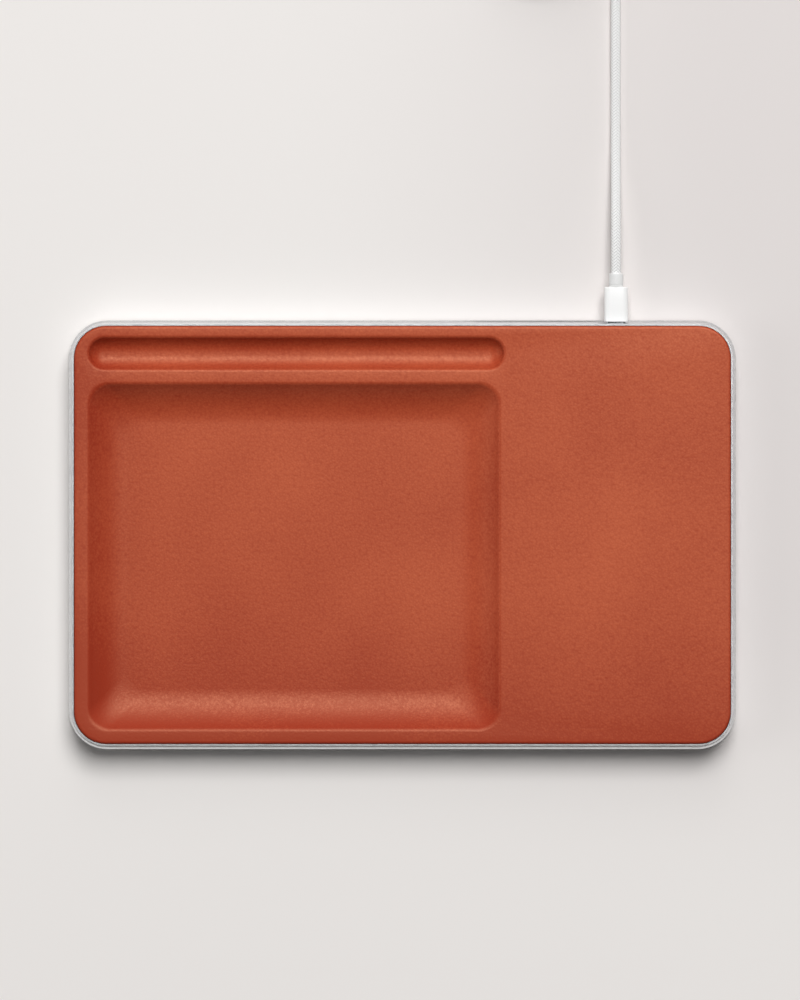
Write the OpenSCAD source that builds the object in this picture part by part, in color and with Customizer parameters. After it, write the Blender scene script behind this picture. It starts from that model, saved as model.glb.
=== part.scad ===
// Charging station organizer: a flat tray with a leather top, which has a valet recess, a pen
// groove and a wireless charging zone, and a cable that plugs into its back edge.
// X runs along the tray, Y towards the socket and Z up. The origin is on the table, under the
// middle of the tray.

/* [Tray] */
// Length of the base plate, the widest piece
tray_l = 280; // [266:1:340]
// Width of the base plate
tray_w = 180; // [168:1:240]
// Corner radius of the base plate
corner_r = 16; // [14:0.5:22]

/* [Base plate and feet] */
// Thickness of the base plate
base_t = 2; // [1.6:0.1:3]
// How far the base plate stands out past the foot of the frame
ledge_w = 0.75; // [0.5:0.05:1.5]
// Chamfer round the underside of the base plate
base_bevel = 0.4; // [0.2:0.05:0.6]
// How far the feet stand down from the base plate
foot_stand = 1; // [0.6:0.1:2]
// Depth of the pockets that the feet are glued in
foot_pocket = 0.8; // [0.4:0.1:1]
// Diameter of a foot
foot_d = 12; // [8:0.5:16]
// Distance of the feet from the edges of the base plate
foot_inset = 22; // [18:1:30]

/* [Metal frame] */
// Height of the frame
frame_h = 13; // [12.8:0.1:18]
// How far the frame's outer face leans in from foot to top
frame_draft = 1.1; // [0.4:0.1:1.5]
// Width of the flat lip on top of the frame
lip_w = 0.55; // [0.4:0.05:1.2]
// Width of the flange at the frame's foot
flange_w = 6.6; // [6.2:0.1:7.5]
// Thickness of the flange
flange_t = 1.2; // [1:0.1:1.5]

/* [Leather cover] */
// Thickness of the leather
leather_t = 1.2; // [0.8:0.1:1.6]
// How far the leather stands above the frame
leather_rise = 0.5; // [0.2:0.1:1]
// Gap between leather and frame
leather_gap = 0.1; // [0.05:0.05:0.3]
// How far the leather is turned down over the shell's edge
leather_turn = 5.5; // [4:0.5:7]

/* [Valet recess] */
// Depth of the recess
recess_depth = 8.5; // [6:0.1:8.6]
// Distance along the top from rim to level floor
recess_run = 18; // [14:0.5:22]
// Rounding of the rim
recess_rim_r = 2.2; // [1.5:0.1:3]
// Corner radius of the rim
recess_corner_r = 9; // [6:0.5:14]
// Corner radius at the floor
recess_floor_corner_r = 8; // [5:0.5:14]
// Land between the recess and the leather's left edge
land_side = 5.1; // [4:0.1:8]
// Land between the recess and the leather's front edge
land_front = 5; // [4:0.1:8]
// Ridge between recess and groove
ridge_w = 3.8; // [3:0.1:8]

/* [Pen groove] */
// Width of the groove
groove_w = 15.5; // [12:0.5:18]
// Depth of the groove
groove_depth = 5.2; // [4.8:0.1:6]
// Rounding of the groove's rim
groove_rim_r = 1.5; // [1.3:0.1:2]
// Level strip along the groove's bottom
groove_flat = 1; // [0.5:0.1:3]
// Land between the groove and the leather's back edge
land_back = 3.8; // [3.5:0.1:6]
// How far the groove runs past the right wall of the recess
groove_over = 2; // [0:0.5:6]

/* [Charging zone] */
// Width of the charging zone, from the recess to the leather's right edge
pad_w = 95.8; // [88:0.1:120]

/* [Inner shell] */
// Wall thickness of the moulded shell
shell_t = 2; // [1.6:0.1:2.2]
// Gap between the shell and the frame
shell_gap = 0.2; // [0.1:0.05:0.4]
// Diameter of the posts under the recess floor
post_d = 8; // [5:0.5:12]
// Diameter of the bosses for the base screws
boss_d = 5.4; // [4.6:0.1:5.6]

/* [Screws] */
// Diameter of the base screws
base_screw_d = 2.5; // [2:0.1:2.6]
// Length of the base screws
base_screw_l = 8; // [6:0.5:9]
// Diameter of the screws of the coil carrier
carrier_screw_d = 2.2; // [2:0.1:2.6]
// Diameter of the board screws
board_screw_d = 2; // [1.6:0.1:2.2]
// Gap between a screw and its hole in a boss
thread_gap = 0.03; // [0.02:0.01:0.06]
// Gap between a screw and the hole that it passes through
pass_gap = 0.15; // [0.1:0.05:0.25]

/* [Charging coils] */
// Outer size of a coil along X
coil_l = 53; // [46:0.5:54]
// Outer size of a coil along Y
coil_w = 45; // [40:0.5:46]
// Width of a coil's winding
coil_band = 12.8; // [8:0.1:14]
// Thickness of a coil
coil_t = 1.3; // [1:0.1:1.4]
// Distance between the middles of two neighbouring coils
coil_pitch = 24.6; // [22:0.1:25]
// Outer corner radius of a coil
coil_corner_r = 10; // [6:0.5:14]
// Gap above and between the coils
coil_gap = 0.1; // [0.05:0.05:0.2]
// Thickness of the ferrite sheet
ferrite_t = 0.8; // [0.5:0.1:1]
// Channel for the leads between the coils and the carrier's walls
lead_channel = 3; // [2.8:0.1:4]
// Wall and floor thickness of the coil carrier
carrier_t = 1.5; // [1.2:0.1:1.6]
// Diameter of a coil lead
lead_d = 1; // [0.8:0.1:1.2]

/* [Driver board] */
// Size of the board along X
board_l = 66; // [64:1:72]
// Size of the board along Y
board_w = 24; // [23:0.5:25]
// Thickness of the board
board_t = 1.2; // [0.8:0.1:1.6]
// Height of the board above the frame's flange
board_lift = 1.3; // [1.2:0.05:1.5]
// Gap between the board and the shell's wall
board_gap = 0.3; // [0.2:0.1:0.5]
// Size of the controller chip
chip_w = 7; // [5:0.5:8]
// Size of the inductor
inductor_w = 7; // [6:0.5:8]

/* [Socket and plug] */
// Width of the plug's nose
nose_w = 8.25; // [8:0.05:8.5]
// Thickness of the plug's nose
nose_t = 2.4; // [2.2:0.05:2.5]
// Length of the plug's nose
nose_l = 6.65; // [6:0.05:7]
// Gap round the nose in the socket
nose_gap = 0.1; // [0.06:0.01:0.15]
// Wall thickness of the socket's metal shell
socket_wall = 0.3; // [0.2:0.05:0.4]
// Length of the socket's metal shell
socket_l = 10; // [9:0.5:11]
// Width of the contact tongue
tongue_w = 6.7; // [6.4:0.1:6.8]
// Thickness of the contact tongue
tongue_t = 0.7; // [0.6:0.05:0.8]
// Length of the contact tongue
tongue_l = 4.45; // [4:0.05:4.6]
// Gap round the tongue in the nose
tongue_gap = 0.2; // [0.15:0.01:0.25]
// Width of the plug's housing
plug_w = 9.9; // [9.5:0.1:12]
// Thickness of the plug's housing
plug_t = 5.8; // [5:0.1:6.2]
// Length of the plug's housing
plug_l = 14.5; // [12:0.5:20]
// Rounding along the sides of the plug's housing
plug_round = 2.3; // [1.5:0.1:2.4]
// Gap between the plug's housing and the frame
plug_gap = 0.3; // [0.2:0.05:0.6]
// Diameter of the collar
collar_d = 6; // [5:0.1:7]
// Length of the collar
collar_l = 5.75; // [4:0.25:10]

/* [Cable] */
// Diameter of the cable
cord_d = 4.1; // [3.8:0.05:4.15]

/* [Hidden] */
$fn = 64;

// How far a cutter reaches past the face that it cuts, and a fused piece into its neighbour
over = 0.5;

// Heights, from the table up
base_z = foot_stand;
frame_z = base_z + base_t;
flange_z = frame_z + flange_t;
lip_z = frame_z + frame_h;
top_z = lip_z + leather_rise;
sheet_z = top_z - leather_t;
ceiling_z = sheet_z - shell_t;
turn_z = top_z - leather_turn;
floor_z = top_z - recess_depth - leather_t;

// Insets from the outline of the base plate
top_in = ledge_w + frame_draft;
frame_in = top_in + lip_w;
leather_in = frame_in + leather_gap;
rebate_in = leather_in + leather_t;
foot_in = frame_in + shell_gap;
wall_in = rebate_in + shell_t;
screw_in = rebate_in + 0.1 + boss_d / 2;

// Recess and groove, from the lands around them
recess_x0 = -tray_l / 2 + leather_in + land_side;
recess_x1 = tray_l / 2 - leather_in - pad_w;
groove_y1 = tray_w / 2 - leather_in - land_back;
groove_y = groove_y1 - groove_w / 2;
groove_x1 = recess_x1 + groove_over;
recess_y0 = -tray_w / 2 + leather_in + land_front;
recess_y1 = groove_y1 - groove_w - ridge_w;
recess_l = recess_x1 - recess_x0;
recess_w = recess_y1 - recess_y0;
recess_x = (recess_x0 + recess_x1) / 2;
recess_y = (recess_y0 + recess_y1) / 2;
pad_x = (recess_x1 + tray_l / 2 - leather_in) / 2;

// Coil stack, hung under the ceiling of the shell
end_room = 1;
carrier_l = coil_l + 2 * (lead_channel + carrier_t);
carrier_w = 2 * coil_pitch + coil_w + 2 * (end_room + carrier_t);
middle_z = ceiling_z - coil_gap - coil_t;
lower_z = middle_z - coil_gap - coil_t;
ferrite_z = lower_z - ferrite_t;
carrier_z = ferrite_z - carrier_t;
ear_d = 8;
ear_x = carrier_l / 2 + ear_d / 2 - 1;
ear_y = carrier_w / 2 - ear_d;
carrier_head_h = 1.2;

// Board and socket
board_z = flange_z + board_lift;
board_top = board_z + board_t;
board_y = tray_w / 2 - wall_in - board_gap - board_w / 2;
board_boss_d = 5;
board_screw_x = board_l / 2 - board_boss_d / 2 - 1;
board_screw_y = board_w / 2 - board_boss_d / 2 - 2;
board_head_h = 1.1;
board_screw_grip = 3.5;
socket_w = nose_w + 2 * (nose_gap + socket_wall);
socket_t = nose_t + 2 * (nose_gap + socket_wall);
socket_z = board_top + socket_t / 2;
socket_sink = 0.5;
block_gap = 0.6;
// The frame's outer face, where the socket passes it
frame_lean = frame_draft / frame_h;
frame_face_y = tray_w / 2 - ledge_w - frame_lean * (socket_z - frame_z);
socket_y = frame_face_y - socket_sink;
plug_y = tray_w / 2 - ledge_w + plug_gap - frame_lean * (socket_z - plug_t / 2 - frame_z);

// Cable. Its route from the collar to the start of the coil is a list of points on its middle.
cord_x = 89.6;
cord_route = [
    [89.6, 109.6, 8.3], [89.6, 115, 8.3], [89.6, 121, 8.1], [89.6, 127, 7.6], [89.6, 133, 6.9],
    [89.6, 139, 6.1], [89.6, 145, 5.2], [89.6, 151, 4.35], [89.6, 157, 3.6], [89.6, 163, 2.95],
    [89.6, 169, 2.5], [89.6, 175, 2.2], [89.6, 182, 2.1], [89.6, 192, 2.08], [89.6, 203, 2.08],
    [89.6, 214, 2.08], [89.6, 225, 2.08], [89.6, 236, 2.08], [89.6, 247, 2.08], [89.6, 257, 2.08],
    [89.6, 264, 2.08]
];

// Coil of the cable: layers of spiral turns that wind in and out again
wind_y = 268.1;
wind_z = 2.08;
wind_turns = 3;
wind_layers = 4;
wind_out = 30.2;
wind_pitch = 4.62;
wind_in = wind_out - wind_turns * wind_pitch;
wind_step = 4.56;
wind_rings = 24;
top_step = cord_d / 2 + 0.1 + plug_t / 2;
curl_r = 18;
curl_angle = 90;
curl_rings = 8;

// A closed 2D section, whose x is the distance outwards from the corner axis, swept round a
// rounded rectangle
module sweep_round(l, w, r) {
    for (k = [0:3]) {
        run = k % 2 == 0 ? l : w;
        reach = k % 2 == 0 ? w : l;
        rotate([0, 0, 90 * k]) {
            translate([r - run / 2, reach / 2 - r, 0])
                rotate([90, 0, 90])
                    linear_extrude(run - 2 * r) children();
            translate([run / 2 - r, reach / 2 - r, 0])
                rotate_extrude(angle = 90) children();
        }
    }
}

// A plate whose edge has the given section, from the corner axis outwards
module edged_plate(l, w, r, z, t) {
    sweep_round(l, w, r) children();
    translate([r - l / 2, r - w / 2, z])
        cube([l - 2 * r, w - 2 * r, t]);
}

// A flat plate with round corners
module round_plate(l, w, r, t) {
    linear_extrude(t) {
        square([l - 2 * r, w], center = true);
        square([l, w - 2 * r], center = true);
        for (sx = [-1, 1], sy = [-1, 1])
            translate([sx * (l / 2 - r), sy * (w / 2 - r)]) circle(r);
    }
}

// A 2D slot with round ends
module slot_shape(w, t) {
    square([w - t, t], center = true);
    for (s = [-1, 1])
        translate([s * (w - t) / 2, 0]) circle(t / 2);
}

// A bar along +Y with the section of a slot
module slot_bar(w, t, l) {
    translate([0, l, 0])
        rotate([90, 0, 0])
            linear_extrude(l) slot_shape(w, t);
}

// The wall of a pressed hollow: a convex rim arc that runs into a concave floor arc. Both
// together reach from the rim to the level floor in run, and down to depth.
function wall_angle(depth, run) = 2 * atan(depth / run);
function floor_r(depth, run, rim_r) = run / sin(wall_angle(depth, run)) - rim_r;

// Points [inset, depth] on that wall from rim to floor, moved t into the material. Where t is
// more than the rim's radius, the rim arc is gone and the floor arc goes on up past it.
function wall_points(depth, run, rim_r, t, rim_steps, floor_steps) =
    let (turn = wall_angle(depth, run), fr = floor_r(depth, run, rim_r), rho = rim_r - t)
    concat(
        rho > 0.05
            ? [for (i = [0:rim_steps - 1]) let (a = turn * i / rim_steps)
                [rho * sin(a), rim_r - rho * cos(a)]]
            : [],
        [for (i = [0:floor_steps]) let (a = turn * (1 - i / floor_steps))
            [run - (fr + t) * sin(a), depth - fr + (fr + t) * cos(a)]]
    );

// Solids between rings of equally many points, listed from top to bottom
function ring_faces(rings, sides) = concat(
    [[for (i = [0:sides - 1]) sides - 1 - i]],
    [for (k = [0:rings - 2], i = [0:sides - 1]) [k * sides + i, k * sides + (i + 1) % sides,
        (k + 1) * sides + i]],
    [for (k = [0:rings - 2], i = [0:sides - 1]) [k * sides + (i + 1) % sides,
        (k + 1) * sides + (i + 1) % sides, (k + 1) * sides + i]],
    [[for (i = [0:sides - 1]) (rings - 1) * sides + i]]
);

corner_steps = 8;
function round_ring(l, w, r, z) =
    [for (k = [0:3], j = [0:corner_steps])
        let (a = 90 * (k + j / corner_steps), sx = k == 0 || k == 3 ? 1 : -1, sy = k < 2 ? 1 : -1)
        [sx * (l / 2 - r) + r * cos(a), sy * (w / 2 - r) + r * sin(a), z]];

// The hollow of the valet recess, as a solid: t is how far it reaches into the material past
// the leather's top side, and lift how far it stands up past its rim
module recess_form(t, lift) {
    wall = wall_points(recess_depth, recess_run, recess_rim_r, t, 5, 8);
    first = wall[0];
    path = concat([[first[0], first[1] - lift]], wall);
    rings = [for (p = path)
        let (part = max(0, p[0]) / recess_run,
            r = recess_corner_r + (recess_floor_corner_r - recess_corner_r) * part - min(0, p[0]))
        round_ring(recess_l - 2 * p[0], recess_w - 2 * p[0], r, top_z - p[1])];
    translate([recess_x, recess_y, 0])
        polyhedron([for (ring = rings) each ring], ring_faces(len(rings), 4 * (corner_steps + 1)));
}

// The hollow of the pen groove, in the same way: straight, with half turned ends
module groove_form(t, lift) {
    wall = wall_points(groove_depth, (groove_w - groove_flat) / 2, groove_rim_r, t, 4, 6);
    first = wall[0];
    half = concat(
        [[0, top_z - first[1] + lift], [groove_w / 2 - first[0], top_z - first[1] + lift]],
        [for (p = wall) [groove_w / 2 - p[0], top_z - p[1]]],
        [[0, top_z - groove_depth - t]]
    );
    long = groove_x1 - recess_x0 - groove_w;
    translate([recess_x0 + groove_w / 2, groove_y, 0]) {
        rotate([90, 0, 90])
            linear_extrude(long) {
                polygon(half);
                mirror([1, 0]) polygon(half);
            }
        rotate([0, 0, 90]) rotate_extrude(angle = 180) polygon(half);
        translate([long, 0, 0])
            rotate([0, 0, -90]) rotate_extrude(angle = 180) polygon(half);
    }
}

// Places of the base screws: one in each corner, two along the front and back, one on each side
screw_spots = concat(
    [for (sx = [-1, 1], sy = [-1, 1]) let (d = (corner_r - screw_in) * sqrt(0.5))
        [sx * (tray_l / 2 - corner_r + d), sy * (tray_w / 2 - corner_r + d)]],
    [for (sx = [-1, 1], sy = [-1, 1]) [sx * tray_l / 6, sy * (tray_w / 2 - screw_in)]],
    [for (sx = [-1, 1]) [sx * (tray_l / 2 - screw_in), 0]]
);
foot_spots = [for (sx = [-1, 0, 1], sy = [-1, 1])
    [sx * (tray_l / 2 - foot_inset), sy * (tray_w / 2 - foot_inset)]];
post_x = recess_l / 2 - recess_run - post_d;
post_y = recess_w / 2 - recess_run - post_d;
post_spots = [for (sx = [-1, 0, 1], sy = [-1, 1]) [recess_x + sx * post_x, recess_y + sy * post_y]];
rib_t = 1.5;
rib_gap = 0.3;
ear_spots = [for (sx = [-1, 1], sy = [-1, 1]) [pad_x + sx * ear_x, sy * ear_y]];
board_spots = [for (sx = [-1, 1], sy = [-1, 1])
    [pad_x + sx * board_screw_x, board_y + sy * board_screw_y]];
// Head diameters of the screws, as shares of their own diameters
flat_head = 1.9;
pan_head = 1.8;

module leather_cover() {
    color("#be5a38") {
        x0 = corner_r - leather_in;
        roll = leather_t;
        difference() {
            union() {
                edged_plate(tray_l, tray_w, corner_r, sheet_z, leather_t)
                    polygon(concat(
                        [[0, sheet_z], [x0 - leather_t, sheet_z], [x0 - leather_t, turn_z],
                            [x0, turn_z]],
                        [for (i = [0:5]) let (a = 90 * i / 5)
                            [x0 - roll + roll * cos(a), top_z - roll + roll * sin(a)]],
                        [[0, top_z]]
                    ));
                recess_form(leather_t, over);
                groove_form(leather_t, over);
            }
            recess_form(0, over);
            groove_form(0, over);
        }
    }
}

// Ribs under the recess floor, from post to post, just clear of the base plate
module shell_ribs() {
    long = 2 * post_x;
    wide = 2 * post_y;
    z0 = frame_z + rib_gap;
    rib_h = floor_z - over - z0;
    for (s = [-1, 1])
        translate([recess_x - post_x, recess_y + s * post_y - rib_t / 2, z0])
            cube([long, rib_t, rib_h]);
    for (s = [-1, 0, 1])
        translate([recess_x + s * post_x - rib_t / 2, recess_y - post_y, z0])
            cube([rib_t, wide, rib_h]);
}

// Moulded shell under the leather: ceiling, skirt, hollows, bosses, posts and ribs
module tray_shell() {
    color("#2f3033") difference() {
        union() {
            edged_plate(tray_l, tray_w, corner_r, ceiling_z, shell_t)
                polygon([[0, ceiling_z], [corner_r - wall_in, ceiling_z],
                    [corner_r - wall_in, flange_z], [corner_r - foot_in, flange_z],
                    [corner_r - foot_in, turn_z], [corner_r - rebate_in, turn_z],
                    [corner_r - rebate_in, sheet_z], [0, sheet_z]]);
            recess_form(leather_t + shell_t, over);
            groove_form(leather_t + shell_t, over);
            for (p = screw_spots)
                translate([p[0], p[1], flange_z])
                    cylinder(d = boss_d, h = ceiling_z - flange_z + over);
            for (p = post_spots)
                translate([p[0], p[1], frame_z])
                    cylinder(d = post_d, h = floor_z - over - frame_z);
            shell_ribs();
            for (p = ear_spots)
                translate([p[0], p[1], ferrite_z])
                    cylinder(d = ear_d - 2, h = ceiling_z - ferrite_z + over);
            for (p = board_spots)
                translate([p[0], p[1], board_top])
                    cylinder(d = board_boss_d, h = ceiling_z - board_top + over);
        }
        recess_form(leather_t, over);
        groove_form(leather_t, over);
        for (p = screw_spots)
            translate([p[0], p[1], flange_z - over])
                cylinder(r = base_screw_d / 2 + thread_gap, h = base_screw_l - base_t);
        for (p = ear_spots)
            translate([p[0], p[1], ferrite_z - over])
                cylinder(r = carrier_screw_d / 2 + thread_gap, h = ceiling_z - ferrite_z + 1);
        for (p = board_spots)
            translate([p[0], p[1], board_top - over])
                cylinder(r = board_screw_d / 2 + thread_gap, h = board_screw_grip + 2 * over);
        translate([pad_x, tray_w / 2 - wall_in - 1, socket_z])
            slot_bar(socket_w + 2 * pass_gap, socket_t + 2 * pass_gap, wall_in);
    }
}

// Thin frame with a flared outer face, a flat lip on top and a flange at its foot
module metal_frame() {
    color("#c9cbcd") difference() {
        sweep_round(tray_l, tray_w, corner_r)
            polygon([[corner_r - ledge_w, frame_z], [corner_r - top_in, lip_z],
                [corner_r - frame_in, lip_z], [corner_r - frame_in, flange_z],
                [corner_r - frame_in - flange_w, flange_z],
                [corner_r - frame_in - flange_w, frame_z]]);
        for (p = screw_spots)
            translate([p[0], p[1], frame_z - over])
                cylinder(r = base_screw_d / 2 + pass_gap, h = flange_t + 2 * over);
        translate([pad_x, tray_w / 2 - wall_in, socket_z])
            slot_bar(socket_w + 2 * pass_gap, socket_t + 2 * pass_gap, wall_in + 1);
    }
}

module base_plate() {
    color("#dcdee0") difference() {
        edged_plate(tray_l, tray_w, corner_r, base_z, base_t)
            polygon([[0, base_z], [corner_r - base_bevel, base_z],
                [corner_r, base_z + base_bevel], [corner_r, frame_z - ledge_w],
                [corner_r - ledge_w, frame_z], [0, frame_z]]);
        for (p = foot_spots)
            translate([p[0], p[1], base_z - over])
                cylinder(d = foot_d + 0.2, h = foot_pocket + over);
        for (p = screw_spots)
            translate([p[0], p[1], base_z])
                rotate_extrude()
                    polygon([[0, -over], [flat_head * base_screw_d / 2 + over, -over],
                        [base_screw_d / 2 + pass_gap, (flat_head - 1) * base_screw_d / 2 - pass_gap],
                        [base_screw_d / 2 + pass_gap, base_t + over], [0, base_t + over]]);
    }
}

module rubber_feet() {
    rim = 0.3;
    color("#242424") for (p = foot_spots)
        translate([p[0], p[1], 0])
            rotate_extrude()
                polygon([[0, 0], [foot_d / 2 - rim, 0], [foot_d / 2, rim],
                    [foot_d / 2, base_z + foot_pocket], [0, base_z + foot_pocket]]);
}

// Countersunk screw along +Z, its head's flat at z = 0, with a six-sided socket
module flat_screw(d, l) {
    head_h = (flat_head - 1) * d / 2;
    difference() {
        rotate_extrude()
            polygon([[0, 0], [flat_head * d / 2, 0], [d / 2, head_h], [d / 2, l - d / 4],
                [d / 4, l], [0, l]]);
        translate([0, 0, -over]) cylinder(d = d * 0.6, h = over + head_h, $fn = 6);
    }
}

// Pan head screw along +Z, its head's underside at z = 0, with a six-sided socket
module pan_screw(d, head_h, l) {
    head_r = pan_head * d / 2;
    bevel = head_h / 4;
    difference() {
        rotate_extrude()
            polygon([[0, -head_h], [head_r - bevel, -head_h], [head_r, bevel - head_h],
                [head_r, 0], [d / 2, 0], [d / 2, l - d / 4], [d / 4, l], [0, l]]);
        translate([0, 0, -head_h - over]) cylinder(d = d * 0.7, h = over + head_h / 2, $fn = 6);
    }
}

module base_screws() {
    color("#55575a") for (p = screw_spots)
        translate([p[0], p[1], base_z]) flat_screw(base_screw_d, base_screw_l);
}

// Open box for the coils, with four screw ears and a low rear wall that the leads cross
module coil_carrier() {
    inner_l = carrier_l - 2 * carrier_t;
    inner_w = carrier_w - 2 * carrier_t;
    color("#e9e7e2") difference() {
        union() {
            translate([pad_x, 0, carrier_z])
                round_plate(carrier_l, carrier_w, 2 * carrier_t, ceiling_z - carrier_z);
            for (p = ear_spots)
                translate([p[0], p[1], carrier_z]) cylinder(d = ear_d, h = carrier_t);
        }
        translate([pad_x, 0, ferrite_z])
            round_plate(inner_l, inner_w, carrier_t, ceiling_z);
        translate([pad_x - inner_l / 2, 0, lower_z])
            cube([inner_l, carrier_w, ceiling_z]);
        for (p = ear_spots)
            translate([p[0], p[1], carrier_z - over])
                cylinder(r = carrier_screw_d / 2 + pass_gap, h = carrier_t + 2 * over);
    }
}

module carrier_screws() {
    color("#55575a") for (p = ear_spots)
        translate([p[0], p[1], carrier_z])
            pan_screw(carrier_screw_d, carrier_head_h, ceiling_z - carrier_z);
}

module ferrite_sheet() {
    color("#3a3a3d") translate([pad_x, 0, ferrite_z])
        round_plate(coil_l + 2, carrier_w - 2 * carrier_t - 0.4, 2, ferrite_t);
}

// A flat wound coil: a band round a rounded rectangular hole
module flat_coil(y, z) {
    hole_l = coil_l - 2 * coil_band;
    hole_w = coil_w - 2 * coil_band;
    color("#b5693c") translate([pad_x, y, z]) difference() {
        round_plate(coil_l, coil_w, coil_corner_r, coil_t);
        translate([0, 0, -over])
            round_plate(hole_l, hole_w, coil_corner_r / 3, coil_t + 2 * over);
    }
}

module rear_coil() {
    flat_coil(coil_pitch, lower_z);
}

module middle_coil() {
    flat_coil(0, middle_z);
}

module front_coil() {
    flat_coil(-coil_pitch, lower_z);
}

// A tube round a path: a ring of points at each path point, square to the path there
function unit(v) = v / norm(v);
function tube_ring(p, dir, r, sides) =
    let (side = unit(cross(dir, [0, 0, 1])), up = cross(side, dir))
    [for (i = [0:sides - 1]) let (a = 360 * (i + 0.5) / sides) p + r * (cos(a) * side + sin(a) * up)];
function path_dir(path, i) =
    let (n = len(path), a = path[max(0, i - 1)], b = path[min(n - 1, i + 1)])
    unit(b - a);
module tube(path, r, sides) {
    rings = [for (i = [0:len(path) - 1]) tube_ring(path[i], path_dir(path, i), r, sides)];
    polyhedron([for (ring = rings) each ring], ring_faces(len(rings), sides));
}

// Two leads from each coil, along the channels of the carrier and over its rear wall
module coil_leads() {
    side = coil_l / 2 + lead_d / 2 + 0.05;
    next = side + lead_d + 0.2;
    rear = coil_pitch + coil_w / 2 + lead_d / 2 + 0.05;
    edge = carrier_w / 2 + 1;
    low = lower_z + coil_t / 2;
    high = middle_z + coil_t / 2;
    pad_y = board_y - board_w / 2;
    pad_z = board_top + lead_d / 2;
    // Start of each lead, and how far from the middle it ends
    leads = [[side, -coil_pitch, low, 22], [next, -coil_pitch - 3, low, 24],
        [-side, 0, high, -22], [-next, -3, high, -24], [6, rear, low, 6], [-6, rear, low, -6]];
    color("#c77f4a") for (p = leads) {
        across = p[3] - p[0];
        down = pad_z - p[2];
        long = pad_y - edge;
        translate([pad_x, 0, 0])
            tube([[p[0], p[1], p[2]], [p[0], (p[1] + edge) / 2, p[2]], [p[0], edge, p[2]],
                [p[0] + across / 3, edge + long / 3, p[2] + down / 3],
                [p[0] + across * 0.9, pad_y - 1, pad_z - down * 0.06],
                [p[3], pad_y + 0.8, pad_z], [p[3], pad_y + 2.5, pad_z]], lead_d / 2, 6);
    }
}

module driver_board() {
    color("#1f5a3c") difference() {
        translate([pad_x, board_y, board_z]) round_plate(board_l, board_w, 1.5, board_t);
        for (p = board_spots)
            translate([p[0], p[1], board_z - over])
                cylinder(r = board_screw_d / 2 + pass_gap, h = board_t + 2 * over);
    }
}

// A component on the board, at [x, y] from the board's middle
module on_board(x, y) {
    translate([pad_x + x, board_y + y, board_top]) children();
}

// A moulded package with bevelled top edges
module package(l, w, h, bevel) {
    rotate([90, 0, 0])
        linear_extrude(w, center = true)
            polygon([[-l / 2, 0], [l / 2, 0], [l / 2, h - bevel], [l / 2 - bevel, h],
                [bevel - l / 2, h], [-l / 2, h - bevel]]);
}

module controller_chip() {
    color("#26272a") on_board(0, -2) package(chip_w, chip_w, 0.9, 0.15);
}

module power_transistors() {
    color("#2b2c2f") for (i = [0:2], j = [0:1])
        on_board(-22 + 6 * i, -3 + 6 * j) package(5, 4.2, 1.1, 0.2);
}

module resonance_capacitors() {
    color("#b9a27c") for (i = [0:3], j = [0:1])
        on_board(9 + 4.8 * i, 3.2 + 4 * j) package(3.4, 2.8, 2.4, 0.2);
}

// Shielded inductor: a round winding can between two square flanges
module filter_inductor() {
    color("#4b4d50") on_board(14, -4) {
        round_plate(inductor_w, inductor_w, 1.2, 0.8);
        translate([0, 0, 0.8]) cylinder(d = inductor_w - 0.8, h = 1.6);
        translate([0, 0, 2.4]) round_plate(inductor_w, inductor_w, 1.2, 0.8);
    }
}

module board_screws() {
    color("#55575a") for (p = board_spots)
        translate([p[0], p[1], board_z])
            pan_screw(board_screw_d, board_head_h, board_t + board_screw_grip);
}

// Metal shell of the socket: a slot-shaped tube, closed at the back
module socket_shell() {
    color("#b8babd") translate([pad_x, socket_y - socket_l, socket_z]) difference() {
        slot_bar(socket_w, socket_t, socket_l);
        translate([0, socket_wall, 0])
            slot_bar(socket_w - 2 * socket_wall, socket_t - 2 * socket_wall, socket_l);
    }
}

// Contact tongue on the block that fills the back of the socket's shell
module socket_tongue() {
    block_l = socket_l - socket_wall - (socket_y - plug_y + nose_l) - block_gap;
    play = 0.04;
    color("#1d1d1f") translate([pad_x, socket_y - socket_l + socket_wall, socket_z]) {
        slot_bar(socket_w - 2 * socket_wall - play, socket_t - 2 * socket_wall - play, block_l);
        translate([-tongue_w / 2, block_l - over, -tongue_t / 2])
            cube([tongue_w, tongue_l + over, tongue_t]);
    }
}

// Pieces of a plug. Its housing starts at y = 0, its nose points to -Y and its cable to +Y.
module nose_piece() {
    hollow_l = nose_l - 1.2;
    color("#c4c6c8") difference() {
        translate([0, -nose_l, 0]) slot_bar(nose_w, nose_t, nose_l);
        translate([0, -nose_l - over, 0])
            slot_bar(tongue_w + 2 * tongue_gap, tongue_t + 2 * tongue_gap, hollow_l + over);
    }
}

module housing_piece() {
    bevel = 0.35;
    color("#f7f7f5") rotate([-90, 0, 0])
        edged_plate(plug_w, plug_t, plug_round, 0, plug_l)
            polygon([[0, 0], [plug_round - bevel, 0], [plug_round, bevel],
                [plug_round, plug_l - bevel], [plug_round - bevel, plug_l], [0, plug_l]]);
}

module collar_piece() {
    bevel = 0.3;
    color("#e6e6e4") translate([0, plug_l, 0])
        rotate([-90, 0, 0])
            rotate_extrude()
                polygon([[0, 0], [collar_d / 2, 0], [collar_d / 2, collar_l - bevel],
                    [collar_d / 2 - bevel, collar_l], [0, collar_l]]);
}

module at_socket() {
    translate([pad_x, plug_y, socket_z]) children();
}

module plug_nose() {
    at_socket() nose_piece();
}

module plug_housing() {
    at_socket() housing_piece();
}

module plug_collar() {
    at_socket() collar_piece();
}

// The cable from the plug's collar to the coil
module cord_run() {
    color("#f2f2f0") tube(cord_route, cord_d / 2, 12);
}

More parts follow.
